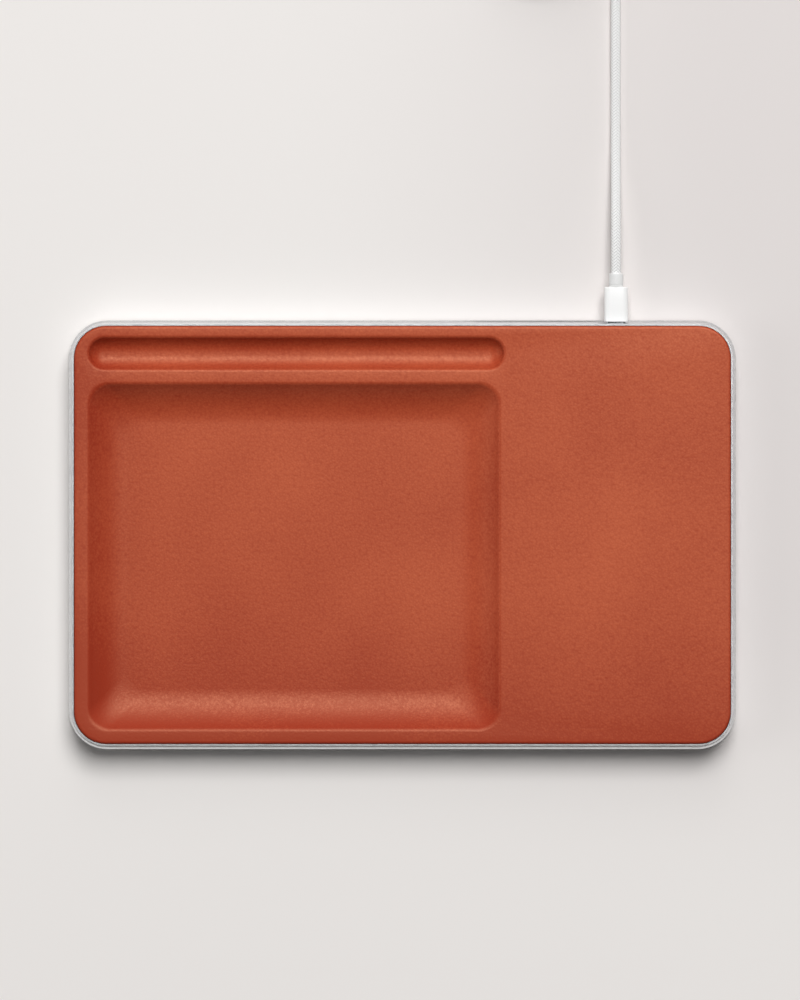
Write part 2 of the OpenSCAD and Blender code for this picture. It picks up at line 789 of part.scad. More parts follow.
// Height of the coil's middle after u turns: it climbs in the half turn round each reversal
function ease(t) = let (c = max(0, min(1, t))) c * c * (3 - 2 * c);
function wind_height(u) = wind_z
    + wind_step * (ease(2 * (u - wind_turns) + 0.5) + ease(2 * (u - 2 * wind_turns) + 0.5)
        + ease(2 * (u - 3 * wind_turns) + 0.5))
    + top_step * ease(2 * (u - wind_layers * wind_turns) + 0.5);
function wind_radius(u) =
    let (layer = floor(u / wind_turns), v = u - wind_turns * layer)
    u >= wind_layers * wind_turns ? wind_out
        : layer % 2 == 0 ? wind_out - wind_pitch * v
        : wind_in + wind_pitch * v;
wind_x = cord_x - wind_out;
function wind_point(u) = [wind_x + wind_radius(u) * cos(360 * u),
    wind_y + wind_radius(u) * sin(360 * u), wind_height(u)];

// The top end leaves the last turn a quarter turn on, and curls in over the turns below it
wind_end = wind_layers * wind_turns + 0.25;
curl_x = wind_x + (wind_out - curl_r) * cos(360 * wind_end);
curl_y = wind_y + (wind_out - curl_r) * sin(360 * wind_end);
curl_z = wind_height(wind_end);
function curl_point(a) = [curl_x + curl_r * cos(360 * wind_end + a),
    curl_y + curl_r * sin(360 * wind_end + a), curl_z];
curl_last = curl_point(curl_angle);
curl_dir = 360 * wind_end + curl_angle + 90;
cord_end = curl_last + cord_d * [cos(curl_dir), sin(curl_dir), 0];

wind_path = concat(
    [[cord_x, wind_y - cord_d, wind_z]],
    [for (i = [0:wind_rings * wind_end]) wind_point(i / wind_rings)],
    [for (i = [1:curl_rings]) curl_point(curl_angle * i / curl_rings)],
    [cord_end]
);

// Least gap between points of the coil that are at least half a turn apart
function least_gap(path, r) =
    min([for (i = [0:len(path) - 14], j = [i + 13:len(path) - 1]) norm(path[i] - path[j])]) - 2 * r;

module cord_coil() {
    echo(least_gap_between_turns = least_gap(wind_path, cord_d / 2));
    color("#f2f2f0") tube(wind_path, cord_d / 2, 6);
}

module at_cord_end() {
    translate(cord_end)
        rotate([0, 0, curl_dir + 90])
            translate([0, -plug_l - collar_l, 0]) children();
}

module far_plug_collar() {
    at_cord_end() collar_piece();
}

module far_plug_housing() {
    at_cord_end() housing_piece();
}

module far_plug_nose() {
    at_cord_end() nose_piece();
}

leather_cover();
tray_shell();
metal_frame();
base_plate();
rubber_feet();
base_screws();
coil_carrier();
carrier_screws();
ferrite_sheet();
rear_coil();
middle_coil();
front_coil();
coil_leads();
driver_board();
controller_chip();
power_transistors();
resonance_capacitors();
filter_inductor();
board_screws();
socket_shell();
socket_tongue();
plug_nose();
plug_housing();
plug_collar();
cord_run();
cord_coil();
far_plug_collar();
far_plug_housing();
far_plug_nose();
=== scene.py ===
import math

import bmesh
import bpy
from mathutils import Matrix, Vector


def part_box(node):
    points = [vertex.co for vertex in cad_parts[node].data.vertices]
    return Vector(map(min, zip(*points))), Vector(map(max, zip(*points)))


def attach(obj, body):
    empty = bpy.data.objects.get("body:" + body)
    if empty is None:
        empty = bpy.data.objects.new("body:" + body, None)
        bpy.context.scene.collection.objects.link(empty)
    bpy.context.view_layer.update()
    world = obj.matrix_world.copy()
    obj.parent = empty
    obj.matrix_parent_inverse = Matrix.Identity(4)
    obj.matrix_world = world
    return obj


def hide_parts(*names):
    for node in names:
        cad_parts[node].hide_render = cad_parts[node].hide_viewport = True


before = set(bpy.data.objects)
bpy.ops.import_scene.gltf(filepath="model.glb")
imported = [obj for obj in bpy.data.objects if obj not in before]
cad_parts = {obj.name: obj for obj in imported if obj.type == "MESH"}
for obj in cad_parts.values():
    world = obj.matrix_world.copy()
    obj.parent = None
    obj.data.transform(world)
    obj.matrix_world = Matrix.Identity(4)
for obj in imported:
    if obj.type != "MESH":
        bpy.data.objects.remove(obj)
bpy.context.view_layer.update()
scene = bpy.context.scene

# Camera. The photograph looks straight down on the tray with a long lens from about four metres,
# so hardly anything of the tray's sides shows.
photo_height = 1000
photo_middle = (400, 500)
tray_middle_pixel = (402.4, 534.9)
metres_per_pixel = 0.0004185
camera_height = 4.0
camera_reach = 50
top_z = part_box("leather_cover")[1].z
camera_data = bpy.data.cameras.new("photo_camera")
camera_data.lens = camera_data.sensor_width * camera_height / (metres_per_pixel * photo_height)
camera_data.clip_end = camera_reach
camera = bpy.data.objects.new("photo_camera", camera_data)
camera.location = (
    (photo_middle[0] - tray_middle_pixel[0]) * metres_per_pixel,
    (tray_middle_pixel[1] - photo_middle[1]) * metres_per_pixel,
    top_z + camera_height,
)
scene.collection.objects.link(camera)
scene.camera = camera
scene.view_settings.view_transform = "Standard"

# Cable. A charging cable of 2 m in a white sleeve, braided from nylon yarn: 16 bundles, two over and
# two under, with painted shade as small dark dots between them. It leaves the plug at the tray and
# runs straight back, and its spare length is wound in a coil with the other plug on top.
MM = 0.001
cable_d = 4.1 * MM
cable_x = 89.6
# From the plug down to the desk and along it: y and z in millimetres
cable_route = [
    (109.6, 8.3), (115, 8.3), (121, 8.1), (127, 7.6), (133, 6.9), (139, 6.1), (145, 5.2),
    (151, 4.35), (157, 3.6), (163, 2.95), (169, 2.5), (175, 2.2), (182, 2.1), (192, 2.08),
    (203, 2.08), (214, 2.08), (225, 2.08), (236, 2.08), (247, 2.08), (257, 2.08), (264, 2.08),
]
# The coil in millimetres: layers of spiral turns that wind in and out again, then a quarter turn
# on top of them that curls inwards and ends in a short straight tail
wind_turns = 3
wind_layers = 4
wind_out = 30.2
wind_pitch = 4.62
wind_in = wind_out - wind_turns * wind_pitch
wind_step = 4.56
wind_x = cable_x - wind_out
wind_y = 268.1
wind_z = 2.08
points_per_turn = 24
climb_turns = 0.5
top_turns = 0.25
top_step = 5.05
curl_r = 18
curl_points = 8
tail_l = 4.1


def ease(t):
    """Rises smoothly from 0 to 1 as t does, and stays level before and after."""
    t = max(0.0, min(1.0, t))
    return t * t * (3 - 2 * t)


def wind_point(u):
    """The cable's middle after u turns of the coil."""
    layer = int(u // wind_turns)
    moved = wind_pitch * (u - wind_turns * layer)
    radius = wind_out - moved if layer % 2 == 0 else wind_in + moved
    if layer >= wind_layers:
        radius = wind_out
    climbs = [ease((u - wind_turns * k) / climb_turns + 0.5) for k in range(1, wind_layers + 1)]
    z = wind_z + wind_step * sum(climbs[:-1]) + top_step * climbs[-1]
    turn = 2 * math.pi * u
    return (wind_x + radius * math.cos(turn), wind_y + radius * math.sin(turn), z)


wind_end = wind_layers * wind_turns + top_turns
end_turn = 2 * math.pi * wind_end
curl_x = wind_x + (wind_out - curl_r) * math.cos(end_turn)
curl_y = wind_y + (wind_out - curl_r) * math.sin(end_turn)
curl_z = wind_point(wind_end)[2]
coil = [wind_point(i / points_per_turn) for i in range(int(points_per_turn * wind_end) + 1)]
for i in range(1, curl_points + 1):
    angle = end_turn + math.pi / 2 * i / curl_points
    coil.append((curl_x + curl_r * math.cos(angle), curl_y + curl_r * math.sin(angle), curl_z))
# The far plug lies in line with the cable's end
far_turn = end_turn + math.pi
far_dir = Vector((math.cos(far_turn), math.sin(far_turn), 0))
cable_end = Vector(coil[-1]) + tail_l * far_dir
laid = [(cable_x, y, z) for y, z in cable_route]
cable_points = [Vector(point) * MM for point in (*laid, *coil, cable_end)]


def srgb(text):
    """A colour written as #rrggbb, in the linear values that the shaders take."""
    parts = [int(text[i:i + 2], 16) / 255 for i in (1, 3, 5)]
    return (*[c / 12.92 if c <= 0.04045 else ((c + 0.055) / 1.055) ** 2.4 for c in parts], 1.0)


def add(tree, kind, inputs=(), **settings):
    """Adds a node of that kind with its settings. An input is given a value, another node's socket,
    or another node, whose first output is meant."""
    made = tree.nodes.new(kind)
    for key, value in settings.items():
        setattr(made, key, value)
    for key, value in dict(inputs).items():
        if isinstance(value, bpy.types.Node):
            value = value.outputs[0]
        if isinstance(value, bpy.types.NodeSocket):
            tree.links.new(value, made.inputs[key])
        else:
            made.inputs[key].default_value = value
    return made


def new_finish(name, **sockets):
    """A material of that name, its node tree and its shader with the given sockets set."""
    made = bpy.data.materials.new(name)
    made.use_nodes = True
    shader = made.node_tree.nodes["Principled BSDF"]
    for key, value in sockets.items():
        shader.inputs[key.replace("_", " ")].default_value = value
    return made, made.node_tree, shader


# Braided nylon yarn, semi-matt: a bundle is bright where it crowns and has painted grey shade where it
# dives under
yarn, tree, shader = new_finish("braided_nylon_semi_matt", Roughness=0.55, IOR=1.53)
bundles_each_way = 8
braid_pitch = 1.3 * MM
lay_repeat = 4
crown_height = 1.2
along = add(tree, "ShaderNodeAttribute", attribute_name="braid_along").outputs["Fac"]
side = add(tree, "ShaderNodeAttribute", attribute_name="braid_side").outputs["Fac"]
up = add(tree, "ShaderNodeAttribute", attribute_name="braid_up").outputs["Fac"]
turn = add(tree, "ShaderNodeMath", {0: up, 1: side}, operation="ARCTAN2")
around = add(tree, "ShaderNodeMath", {0: turn, 1: bundles_each_way / (2 * math.pi)},
             operation="MULTIPLY")
steps = add(tree, "ShaderNodeMath", {0: along, 1: braid_pitch}, operation="DIVIDE")
right_lay = add(tree, "ShaderNodeMath", {0: around, 1: steps}, operation="ADD")
left_lay = add(tree, "ShaderNodeMath", {0: around, 1: steps}, operation="SUBTRACT")
right_bundle = add(tree, "ShaderNodeMath", {0: right_lay}, operation="FLOOR")
left_bundle = add(tree, "ShaderNodeMath", {0: left_lay}, operation="FLOOR")
crossing = add(tree, "ShaderNodeMath", {0: right_bundle, 1: left_bundle}, operation="ADD")
in_repeat = add(tree, "ShaderNodeMath", {0: crossing, 1: lay_repeat}, operation="FLOORED_MODULO")
# Of the four crossings in a repeat, numbers 0 and 1 have the right lay on top
right_over = add(tree, "ShaderNodeMath", {0: in_repeat, 1: 1.5}, operation="LESS_THAN")
right_crown = add(tree, "ShaderNodeMath", {0: right_lay, 1: 0.5}, operation="PINGPONG")
left_crown = add(tree, "ShaderNodeMath", {0: left_lay, 1: 0.5}, operation="PINGPONG")
# How far a point lies from the edges of the bundle that is on top there
crown = add(tree, "ShaderNodeMix", {"Factor": right_over, "A": left_crown, "B": right_crown})
dive = add(tree, "ShaderNodeMath", {0: right_crown, 1: left_crown}, operation="MULTIPLY")
swell = add(tree, "ShaderNodeMath", {0: crown, 1: crown_height, 2: dive}, operation="MULTIPLY_ADD")
height = add(tree, "ShaderNodeMath", {0: swell}, operation="SQRT")
# Painted shade: the yarn's colour turns grey where it lies low, between and under the bundles on top
shade = add(tree, "ShaderNodeMapRange", {"Value": height, "From Min": 0.05, "From Max": 0.5})
# A Mix of colours has its factor, A and B on sockets 0, 6 and 7, and its result on socket 2
tint = add(tree, "ShaderNodeMix", {0: shade, 6: srgb("#8E8D8B"), 7: srgb("#F7F7F6")},
           data_type="RGBA")
tree.links.new(tint.outputs[2], shader.inputs["Base Color"])
bump = add(tree, "ShaderNodeBump", {"Height": height, "Distance": 0.25 * MM, "Strength": 0.8})
tree.links.new(bump.outputs[0], shader.inputs["Normal"])

# The sleeve follows the cable's middle line, and keeps where each point lies on it for the braid
sleeve = bpy.data.node_groups.new("sleeve_along_a_path", "GeometryNodeTree")
for name, kind in (
    ("Path", "NodeSocketGeometry"), ("Diameter", "NodeSocketFloat"), ("Sides", "NodeSocketInt"),
    ("Ring Distance", "NodeSocketFloat"), ("Yarn", "NodeSocketMaterial"),
):
    sleeve.interface.new_socket(name, in_out="INPUT", socket_type=kind)
sleeve.interface.new_socket("Sleeve", in_out="OUTPUT", socket_type="NodeSocketGeometry")
given = add(sleeve, "NodeGroupInput").outputs
smooth_path = add(sleeve, "GeometryNodeCurveSplineType", {"Curve": given["Path"]},
                  spline_type="CATMULL_ROM")
finer = add(sleeve, "GeometryNodeSetSplineResolution", {"Geometry": smooth_path, "Resolution": 8})
level = add(sleeve, "GeometryNodeSetCurveNormal", {"Curve": finer}, mode="Z_UP")
spaced = add(sleeve, "GeometryNodeResampleCurve", {
    "Curve": level, "Length": given["Ring Distance"],
}, mode="LENGTH")
place = add(sleeve, "GeometryNodeSplineParameter").outputs
kept_length = add(sleeve, "GeometryNodeStoreNamedAttribute", {
    "Geometry": spaced, "Name": "braid_along", "Value": place["Length"],
}, data_type="FLOAT", domain="POINT")
radius = add(sleeve, "ShaderNodeMath", {0: given["Diameter"], 1: 0.5}, operation="MULTIPLY")
ring = add(sleeve, "GeometryNodeCurvePrimitiveCircle", {
    "Resolution": given["Sides"], "Radius": radius,
})
ring_turn = add(sleeve, "ShaderNodeMath", {
    0: add(sleeve, "GeometryNodeSplineParameter").outputs["Factor"], 1: 2 * math.pi,
}, operation="MULTIPLY")
kept_side = add(sleeve, "GeometryNodeStoreNamedAttribute", {
    "Geometry": ring, "Name": "braid_side",
    "Value": add(sleeve, "ShaderNodeMath", {0: ring_turn}, operation="COSINE"),
}, data_type="FLOAT", domain="POINT")
kept_up = add(sleeve, "GeometryNodeStoreNamedAttribute", {
    "Geometry": kept_side, "Name": "braid_up",
    "Value": add(sleeve, "ShaderNodeMath", {0: ring_turn}, operation="SINE"),
}, data_type="FLOAT", domain="POINT")
swept = add(sleeve, "GeometryNodeCurveToMesh", {
    "Curve": kept_length, "Profile Curve": kept_up, "Fill Caps": True,
})
rounded = add(sleeve, "GeometryNodeSetShadeSmooth", {"Geometry": swept})
whole = add(sleeve, "GeometryNodeRealizeInstances", {"Geometry": rounded})
dressed = add(sleeve, "GeometryNodeSetMaterial", {"Geometry": whole, "Material": given["Yarn"]})
add(sleeve, "NodeGroupOutput", {"Sleeve": dressed})


def use_tree(obj, tree, **values):
    """Puts the tree on the object, with its named inputs set by their identifiers."""
    modifier = obj.modifiers.new(tree.name, "NODES")
    modifier.node_group = tree
    for socket in tree.interface.items_tree:
        key = socket.name.replace(" ", "_").lower()
        if socket.in_out == "INPUT" and key in values:
            modifier[socket.identifier] = values[key]


def plain_mesh(source, name, material):
    """What the object's Geometry Nodes make, as a plain mesh object of its own."""
    graph = bpy.context.evaluated_depsgraph_get()
    mesh = bpy.data.meshes.new_from_object(source.evaluated_get(graph))
    mesh.name = name
    mesh.materials.clear()
    mesh.materials.append(material)
    bpy.data.objects.remove(source)
    made = bpy.data.objects.new(name, mesh)
    scene.collection.objects.link(made)
    return made


line = bpy.data.curves.new("cable_middle", "CURVE")
line.dimensions = "3D"
spline = line.splines.new("POLY")
spline.points.add(len(cable_points) - 1)
for point, place in zip(spline.points, cable_points):
    point.co = (*place, 1)
cable_line = bpy.data.objects.new("cable_middle", line)
scene.collection.objects.link(cable_line)
use_tree(cable_line, sleeve, diameter=cable_d, sides=24, ring_distance=0.8 * MM, yarn=yarn)
cable = plain_mesh(cable_line, "braided_cable", yarn)
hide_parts("cord_run", "cord_coil")
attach(cable, "cable")

# Plugs. Each is a shell of white ABS, moulded round the board inside, with straight rounded sides
# and small rounded ends; a light grey TPE collar holds the sleeve, and the nose is nickelled steel.
plug_low, plug_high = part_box("plug_housing")
plug_w = plug_high.x - plug_low.x
plug_l = plug_high.y - plug_low.y
plug_t = plug_high.z - plug_low.z
plug_middle = (plug_low + plug_high) / 2
plug_side_r = 2.3 * MM
plug_edge_r = 0.35 * MM
plug_corner_steps = 10
collar_low, collar_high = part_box("plug_collar")
collar_r = (collar_high.x - collar_low.x) / 2
collar_l = collar_high.y - collar_low.y
collar_edge_r = 0.4 * MM
collar_sides = 40
edge_steps = 5


def rounded_outline(length, width, radius, steps):
    """The points of a rounded rectangle round the origin, anticlockwise."""
    found = []
    for k, (sx, sy) in enumerate(((1, 1), (-1, 1), (-1, -1), (1, -1))):
        for j in range(steps + 1):
            a = math.pi / 2 * (k + j / steps)
            found.append((sx * (length / 2 - radius) + radius * math.cos(a),
                          sy * (width / 2 - radius) + radius * math.sin(a)))
    return found


def loft(name, rings):
    """A closed mesh through rings of equally many points, with a cap at both ends."""
    sides = len(rings[0])
    last = (len(rings) - 1) * sides
    faces = []
    for a in range(0, last, sides):
        b = a + sides
        faces += [(a + i, a + (i + 1) % sides, b + (i + 1) % sides, b + i) for i in range(sides)]
    faces += [tuple(range(sides))[::-1], tuple(range(last, last + sides))]
    mesh = bpy.data.meshes.new(name)
    mesh.from_pydata([point for ring in rings for point in ring], [], faces)
    return mesh


def finished(name, mesh, material, body, slot, *nodes, sharp=35.0, place=None):
    """Makes the mesh a piece of its own: normals outwards, shaded smooth between its sharp edges,
    moved to its place, with its material and body, and hides the CAD nodes it stands for.
    The slot is not used."""
    form = bmesh.new()
    form.from_mesh(mesh)
    bmesh.ops.remove_doubles(form, verts=form.verts, dist=1e-7)
    bmesh.ops.recalc_face_normals(form, faces=form.faces)
    form.to_mesh(mesh)
    form.free()
    if place is not None:
        mesh.transform(place)
    mesh.shade_smooth()
    mesh.set_sharp_from_angle(angle=math.radians(sharp))
    mesh.materials.append(material)
    piece = bpy.data.objects.new(name, mesh)
    scene.collection.objects.link(piece)
    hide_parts(*nodes)
    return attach(piece, body)


def housing_mesh(name):
    """The housing along +Y from the origin, with an edge rounded at each end."""
    near = [(plug_edge_r * (1 - math.cos(a)), plug_edge_r * (1 - math.sin(a)))
            for a in [math.pi / 2 * i / edge_steps for i in range(edge_steps + 1)]]
    far = [(plug_l - y, inset) for y, inset in reversed(near)]
    return loft(name, [
        [(x, y, z) for x, z in rounded_outline(plug_w - 2 * inset, plug_t - 2 * inset,
                                               plug_side_r - inset, plug_corner_steps)]
        for y, inset in near + far
    ])


def collar_mesh(name):
    """The collar along +Y from the housing's end, with a fine groove there and a rounded end."""
    groove_y, groove_slope, groove_floor, groove_h = 0.5 * MM, 0.15 * MM, 0.2 * MM, 0.12 * MM
    floor_y = groove_y + groove_slope
    stops = [(0.0, collar_r), (groove_y, collar_r), (floor_y, collar_r - groove_h),
             (floor_y + groove_floor, collar_r - groove_h),
             (floor_y + groove_floor + groove_slope, collar_r)]
    stops += [(collar_l - collar_edge_r * (1 - math.sin(a)), collar_r - collar_edge_r * (1 - math.cos(a)))
              for a in [math.pi / 2 * i / edge_steps for i in range(edge_steps + 1)]]
    return loft(name, [
        [(r * math.cos(t), plug_l + y, r * math.sin(t))
         for t in [2 * math.pi * i / collar_sides for i in range(collar_sides)]]
        for y, r in stops
    ])


# ABS, moulded with a satin gloss: a very slight orange peel in its highlights
plug_abs, tree, shader = new_finish("moulded_abs_satin_gloss", IOR=1.53, Base_Color=srgb("#F6F6F5"))
peel_w = 0.6 * MM
peel = add(tree, "ShaderNodeTexNoise", {
    "Vector": add(tree, "ShaderNodeTexCoord").outputs["Object"], "Scale": 1 / peel_w, "Detail": 3.0,
}).outputs["Fac"]
gloss = add(tree, "ShaderNodeMapRange", {"Value": peel, "To Min": 0.26, "To Max": 0.38})
tree.links.new(gloss.outputs[0], shader.inputs["Roughness"])
bump = add(tree, "ShaderNodeBump", {"Height": peel, "Distance": 0.01 * MM, "Strength": 0.25})
tree.links.new(bump.outputs[0], shader.inputs["Normal"])


def speckled(name, dark, light, grit, depth, rough, metal=0.0, ior=1.5, stretch=(1, 1, 1)):
    """A finish with one fine grain in its colour, gloss and relief, grit wide and depth deep in
    millimetres. Where stretch is small, the grain is drawn out along that axis."""
    made, tree, shader = new_finish(name, Metallic=metal, IOR=ior)
    spots_to_grit = 14
    gloss_spread = 0.05
    turned = add(tree, "ShaderNodeMapping", {
        "Vector": add(tree, "ShaderNodeTexCoord").outputs["Object"], "Scale": stretch,
    })
    grain = add(tree, "ShaderNodeTexNoise", {
        "Vector": turned, "Scale": 1 / (grit * MM), "Detail": 4.0,
    }).outputs["Fac"]
    spots = add(tree, "ShaderNodeTexNoise", {
        "Vector": turned, "Scale": 1 / (spots_to_grit * grit * MM), "Detail": 2.0,
    }).outputs["Fac"]
    total = add(tree, "ShaderNodeMath", {0: grain, 1: spots}, operation="ADD")
    both = add(tree, "ShaderNodeMath", {0: total, 1: 0.5}, operation="MULTIPLY")
    tint = add(tree, "ShaderNodeValToRGB", {"Fac": both})
    tint.color_ramp.elements[0].color = srgb(dark)
    tint.color_ramp.elements[0].position = 0.35
    tint.color_ramp.elements[1].color = srgb(light)
    tint.color_ramp.elements[1].position = 0.65
    tree.links.new(tint.outputs[0], shader.inputs["Base Color"])
    gloss = add(tree, "ShaderNodeMapRange", {
        "Value": both, "From Min": 0.3, "From Max": 0.7,
        "To Min": rough - gloss_spread, "To Max": rough + gloss_spread,
    })
    tree.links.new(gloss.outputs[0], shader.inputs["Roughness"])
    bump = add(tree, "ShaderNodeBump", {"Height": grain, "Distance": depth * MM, "Strength": 0.5})
    tree.links.new(bump.outputs[0], shader.inputs["Normal"])
    return made


def coat(material, *nodes):
    """Puts the material on those CAD nodes in place of their plain one."""
    for node in nodes:
        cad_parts[node].data.materials[0] = material


# TPE, moulded matt: a soft grey-white without a highlight
collar_tpe = speckled("moulded_tpe_matt", "#DEDEDD", "#EAEAE9", grit=0.3, depth=0.01, rough=0.55)
# Nickelled steel, drawn: silvery, with fine lines along the nose
nickel = speckled("nickelled_steel_drawn", "#B4B6B8", "#D2D4D5", grit=0.15, depth=0.003, rough=0.24,
                  metal=1.0, stretch=(1, 0.1, 1))
near_place = Matrix.Translation((plug_middle.x, plug_low.y, plug_middle.z))
far_spot = Matrix.Translation(cable_end * MM + (plug_l + collar_l) * far_dir)
far_place = far_spot @ Matrix.Rotation(far_turn + math.pi / 2, 4, "Z")
for label, place, node in (("seated", near_place, "plug"), ("loose", far_place, "far_plug")):
    finished(label + "_plug_housing", housing_mesh(label), plug_abs, "cable",
                             "plug_plastic", node + "_housing", place=place)
    finished(label + "_plug_collar", collar_mesh(label), collar_tpe, "cable",
                             "collar_plastic", node + "_collar", place=place)
coat(nickel, "plug_nose", "far_plug_nose")

# Base plate. A 2 mm plate of aluminium, anodised natural, held by screws from below; the chamfer
# round its upper edge is cut after anodising with a diamond tool, so it is bright as a mirror.
tray_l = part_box("base_plate")[1].x * 2
tray_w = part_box("base_plate")[1].y * 2
corner_r = 16 * MM
frame_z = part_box("metal_frame")[0].z
chamfer = 0.75 * MM
chamfer_margin = 0.02 * MM
mirror_rough = 0.12
# Anodised aluminium, satin: pale and even, with a soft reflection
plate_metal = speckled("anodised_aluminium_satin", "#D4D5D6", "#E8E9EA", grit=0.12, depth=0.004,
                       rough=0.36, metal=1.0)
tree = plate_metal.node_tree
shader = tree.nodes["Principled BSDF"]
height = add(tree, "ShaderNodeSeparateXYZ", {
    "Vector": add(tree, "ShaderNodeTexCoord").outputs["Object"],
}).outputs["Z"]
above = add(tree, "ShaderNodeMath", {0: height, 1: frame_z - chamfer + chamfer_margin},
            operation="GREATER_THAN")
below = add(tree, "ShaderNodeMath", {0: height, 1: frame_z - chamfer_margin}, operation="LESS_THAN")
cut = add(tree, "ShaderNodeMath", {0: above, 1: below}, operation="MULTIPLY")
satin = shader.inputs["Roughness"].links[0].from_socket
polished = add(tree, "ShaderNodeMix", {"Factor": cut, "A": satin, "B": mirror_rough})
tree.links.new(polished.outputs[0], shader.inputs["Roughness"])
coat(plate_metal, "base_plate")

# Feet. Six discs of black rubber, moulded and glued into pockets of the plate, so that the tray
# stands without sliding. Moulded rubber is matt and almost black.
rubber = speckled("moulded_rubber_matt", "#1F1F1F", "#2B2B2B", grit=0.5, depth=0.02, rough=0.75,
                  ior=1.52)
coat(rubber, "rubber_feet")

# Base screws. Countersunk steel screws with a six-sided socket, through plate and frame into the
# shell. Steel, blackened in oil: dark grey with a soft gleam.
black_steel = speckled("blackened_steel_satin", "#3A3B3D", "#505255", grit=0.1, depth=0.004,
                       rough=0.38, metal=1.0)
coat(black_steel, "base_screws")

# Frame. A thin flared wall with a flat lip, milled from aluminium and clamped between plate and
# shell. It is bead blasted before it is anodised, which leaves a pale grey with a fine sparkle.
frame_metal = speckled("bead_blasted_anodised_aluminium", "#CFD0D1", "#E2E3E4", grit=0.1, depth=0.006,
                       rough=0.34, metal=1.0)
coat(frame_metal, "metal_frame")

# Inner shell. One moulding of black ABS under the leather, with the same hollows, and with bosses
# for the screws. Its mould is spark eroded, which leaves a fine matt grain.
shell_abs = speckled("moulded_abs_matt_black", "#27282A", "#36373A", grit=0.35, depth=0.02, rough=0.6)
coat(shell_abs, "tray_shell")

# Charging coils. Three flat coils of enamelled copper strands lie in a row under the charging zone,
# in a moulded nylon carrier with a sheet of ferrite. The carrier is screwed to the shell.
copper = speckled("enamelled_copper_strands", "#9C5227", "#CB8050", grit=0.35, depth=0.05, rough=0.33,
                  metal=1.0)
coat(copper, "rear_coil", "middle_coil", "front_coil", "coil_leads")
# Nylon, moulded in its natural colour: cloudy off-white with a low sheen
carrier_nylon = speckled("moulded_nylon_natural", "#DEDBD3", "#EEEBE4", grit=0.4, depth=0.015,
                         rough=0.5)
coat(carrier_nylon, "coil_carrier")
# Ferrite, pressed and sintered: dull, almost black
shield_ferrite = speckled("sintered_ferrite_dull", "#343438", "#434347", grit=0.2, depth=0.01,
                          rough=0.55)
coat(shield_ferrite, "ferrite_sheet")
coat(black_steel, "carrier_screws")

# Driver board. A fibreglass board under green solder mask, with its parts soldered on and screwed
# to the shell. The mask is a smooth gloss over a faint weave of glass.
board_mask = speckled("fibreglass_board_with_solder_mask", "#174B31", "#23643F", grit=0.9, depth=0.02,
                      rough=0.3)
coat(board_mask, "driver_board")
coat(black_steel, "board_screws")
# Epoxy, moulded round the chips: black or dark grey, with a faint glitter of its filler
chip_epoxy = speckled("moulded_epoxy_black", "#232427", "#303236", grit=0.15, depth=0.01, rough=0.5)
coat(chip_epoxy, "controller_chip")
power_epoxy = speckled("moulded_epoxy_dark_grey", "#27282B", "#37393D", grit=0.15, depth=0.01,
                       rough=0.5)
coat(power_epoxy, "power_transistors")
# Ceramic, fired: tan, with an eggshell gloss
capacitor_ceramic = speckled("fired_ceramic_tan", "#AE9670", "#C6B08A", grit=0.25, depth=0.008,
                             rough=0.4)
coat(capacitor_ceramic, "resonance_capacitors")
# Ferrite of the inductor's core, sintered and ground: a smoother, lighter grey than the shield
inductor_ferrite = speckled("sintered_ferrite_grey", "#44464A", "#585B5F", grit=0.2, depth=0.01,
                            rough=0.5)
coat(inductor_ferrite, "filter_inductor")

# Socket. A shell drawn from steel and nickelled, like the plug's nose, round a tongue of black
# liquid crystal polymer, which is moulded smooth and satin. It is soldered to the board's edge.
tongue_lcp = speckled("moulded_lcp_black", "#1B1B1D", "#27272A", grit=0.15, depth=0.006, rough=0.4)
coat(nickel, "socket_shell")
coat(tongue_lcp, "socket_tongue")

# Leather cover. One piece of vegetable-tanned leather, dyed terracotta and pressed wet over the
# shell, so the recess and the groove have soft rims and its edge is turned down inside the frame.
leather_in = 2.5 * MM
leather_t = 1.2 * MM
leather_low_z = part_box("leather_cover")[0].z
leather_edge_steps = 8
tray_corner_steps = 20
recess_x0, recess_x1 = -132.4 * MM, 41.7 * MM
recess_y0, recess_y1 = -82.5 * MM, 64.4 * MM
recess_depth, recess_run, recess_rim_r = 8.5 * MM, 18 * MM, 2.2 * MM
recess_corner_r, recess_floor_corner_r = 9 * MM, 8 * MM
recess_steps = (8, 24)
groove_x1, groove_y, groove_w = 43.7 * MM, 75.95 * MM, 15.5 * MM
groove_depth, groove_flat, groove_rim_r = 5.2 * MM, 1 * MM, 1.5 * MM
groove_steps = (6, 14)
hollow_corner_steps = 16
almost_half_round = 0.9999


def wall_profile(depth, run, rim_r, t, steps):
    """(inset, depth) from rim to floor: a convex rim arc that runs into a concave floor arc, both
    moved t into the leather."""
    rim_steps, floor_steps = steps
    turn = 2 * math.atan(depth / run)
    floor_r = run / math.sin(turn) - rim_r
    moved_rim_r = rim_r - t
    moved_floor_r = floor_r + t
    found = [(moved_rim_r * math.sin(a), rim_r - moved_rim_r * math.cos(a))
             for a in [turn * i / rim_steps for i in range(rim_steps)]]
    found += [(run - moved_floor_r * math.sin(a), depth - floor_r + moved_floor_r * math.cos(a))
              for a in [turn * (1 - i / floor_steps) for i in range(floor_steps + 1)]]
    return found


def recess_outline(inset):
    """The recess's outline that far in from its rim; its corners tighten towards the floor."""
    radius = recess_corner_r + (recess_floor_corner_r - recess_corner_r) * inset / recess_run
    return rounded_outline(recess_x1 - recess_x0 - 2 * inset, recess_y1 - recess_y0 - 2 * inset,
                           radius, hollow_corner_steps)


